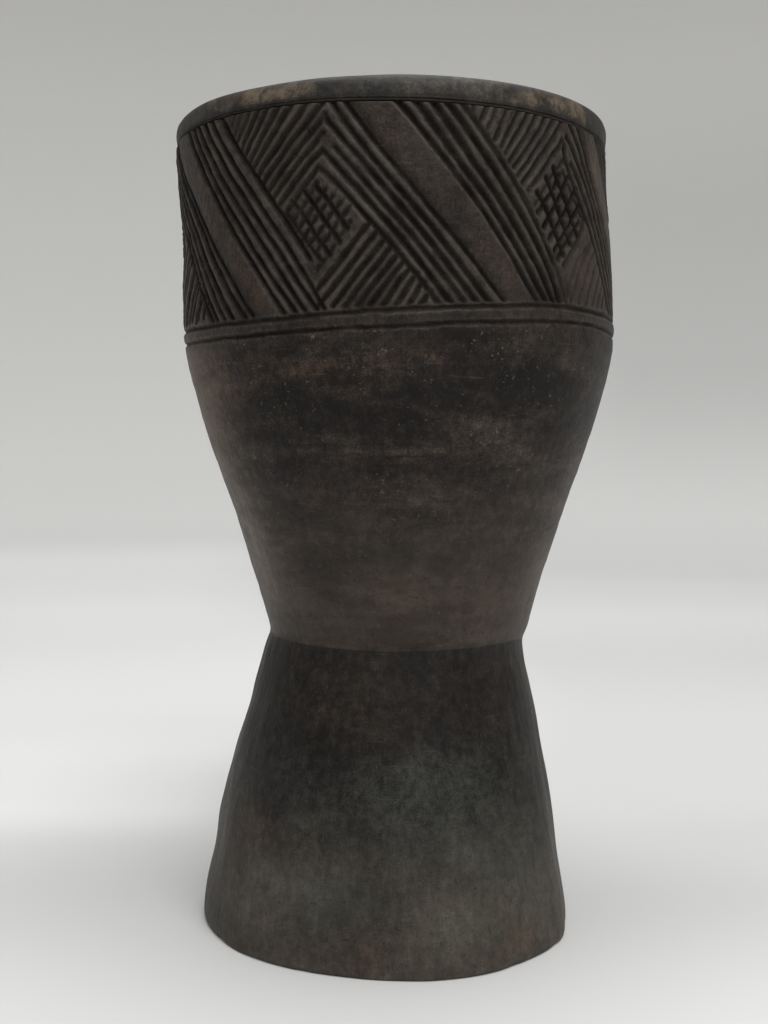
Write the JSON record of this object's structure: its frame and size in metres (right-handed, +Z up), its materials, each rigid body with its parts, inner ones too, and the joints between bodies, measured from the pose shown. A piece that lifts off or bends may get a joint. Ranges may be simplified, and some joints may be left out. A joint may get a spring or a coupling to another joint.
{
  "type": "goblet drum",
  "caption": "Goblet-shaped hand drum: a hollow carved wooden body with a narrow waist and a flared open foot, a patterned band round the bowl, and a hide head lapped over the rim.",
  "frame": {"origin": "centre of the object's box, on the plane the foot rests on", "axes": "+Z up through the foot, the throat and the bowl to the playing head; -Y towards the side of the carved band whose diamond is nearest to the middle; +X to the right of a viewer who looks along +Y"},
  "size_m": [0.2252, 0.2222, 0.41],
  "materials": {
    "carved_wood": "dark smoke-and-oil patina, dull satin, worn grey on the ridges of the carving",
    "hide": "old smoke-darkened goat hide, dull, worn tan along the rim",
    "sinew": "twisted sinew cord, nearly black, matt"
  },
  "bodies": {
    "root": {"shell": "carved_wood", "drumhead": "hide", "head_binding": "sinew"}
  },
  "joints": []
}
